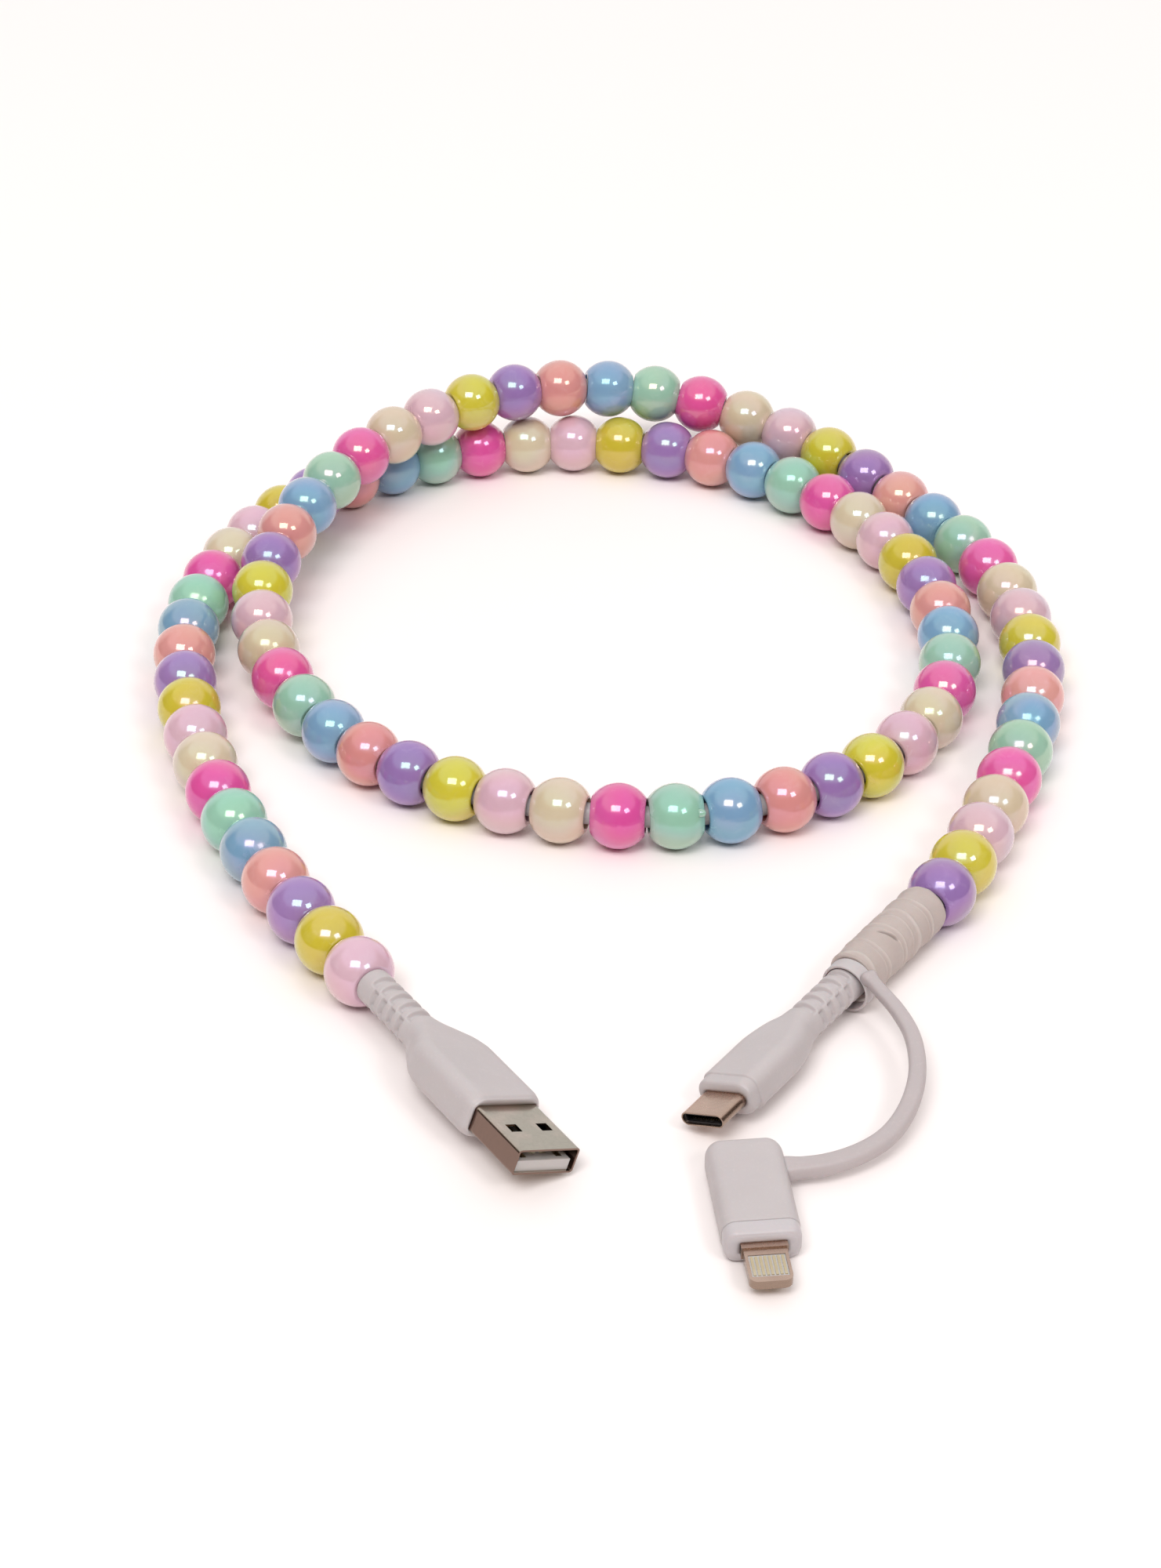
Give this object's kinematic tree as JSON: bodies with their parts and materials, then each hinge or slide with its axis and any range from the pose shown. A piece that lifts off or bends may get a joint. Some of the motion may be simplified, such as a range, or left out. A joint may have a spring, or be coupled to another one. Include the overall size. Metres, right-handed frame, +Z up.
{
  "type": "charging cable",
  "caption": "Loop of charging cable threaded with round pastel beads, with a USB-A plug, a USB-C plug and a tethered adapter for phone sockets.",
  "frame": {"origin": "under the middle of the whole laid-out cable, on the surface that it lies on", "axes": "+Z up from that surface, +Y away from the plugs along the loop, +X across the loop"},
  "size_m": [0.1755, 0.2815, 0.0241],
  "materials": {
    "light_pink_bead": "glossy with an iridescent coat",
    "yellow_bead": "glossy with an iridescent coat",
    "purple_bead": "glossy with an iridescent coat",
    "coral_bead": "glossy with an iridescent coat",
    "blue_bead": "glossy with an iridescent coat",
    "mint_bead": "glossy with an iridescent coat",
    "hot_pink_bead": "glossy with an iridescent coat",
    "cream_bead": "glossy with an iridescent coat",
    "pale_grip": "soft satin",
    "pale_jacket": "satin",
    "tape": "wound tape, matt",
    "plated_steel": "nickel plated, fine brushed",
    "gold_contact": "gold plated",
    "white_core": "moulded",
    "black_core": "moulded",
    "inner_moulding": "moulded",
    "circuit_board": "solder resist",
    "chip_black": "moulded",
    "wire_insulation": "smooth"
  },
  "bodies": {
    "cable": {"usb_a_metal_tube": "plated_steel", "usb_a_tongue": "white_core", "usb_a_contacts": "gold_contact", "usb_a_wires": "wire_insulation", "usb_a_inner_mould": "inner_moulding", "usb_a_grip": "pale_grip", "cable_jacket": "pale_jacket", "beads_light_pink": "light_pink_bead", "beads_yellow": "yellow_bead", "beads_purple": "purple_bead", "beads_coral": "coral_bead", "beads_blue": "blue_bead", "beads_mint": "mint_bead", "beads_hot_pink": "hot_pink_bead", "beads_cream": "cream_bead", "tape_sleeve": "tape", "usb_c_grip": "pale_grip", "usb_c_inner_mould": "inner_moulding", "usb_c_board": "circuit_board", "usb_c_resistor": "chip_black", "usb_c_wires": "wire_insulation", "usb_c_metal_tube": "plated_steel", "usb_c_contact_block": "black_core", "usb_c_contacts_upper": "gold_contact", "usb_c_contacts_lower": "gold_contact", "usb_c_latch_springs": "plated_steel"},
    "turning_bead": {"turning_bead": "mint_bead"},
    "tether": {"tether_ring": "pale_grip", "tether_strap": "pale_grip"},
    "adapter": {"adapter_housing": "pale_grip", "adapter_front_cap": "pale_grip", "adapter_inner_mould": "inner_moulding", "adapter_board": "circuit_board", "adapter_chip": "chip_black", "adapter_socket_tube": "plated_steel", "adapter_socket_tongue": "black_core", "adapter_socket_contacts_upper": "gold_contact", "adapter_socket_contacts_lower": "gold_contact", "adapter_tip_metal": "plated_steel", "adapter_tip_insulator": "white_core", "adapter_tip_contacts_upper": "gold_contact", "adapter_tip_contacts_lower": "gold_contact"}
  },
  "joints": [
    {"name": "bead_turn", "type": "hinge", "parent": "cable", "child": "turning_bead", "pos_m": [0.011, -0.018, 0.006], "axis": [-0.9957, -0.0928, 0], "continuous": true},
    {"name": "ring_turn", "type": "hinge", "parent": "cable", "child": "tether", "pos_m": [0.03847, -0.06703, 0.00489], "axis": [-0.5692, -0.8221, -0.014], "range_deg": [0, 140]},
    {"name": "adapter_swing", "type": "hinge", "parent": "tether", "child": "adapter", "pos_m": [0.0455, -0.1015, 0.004], "axis": [0, 0, 1], "range_deg": [-5, 30], "deforming": ["tether_strap"]}
  ]
}
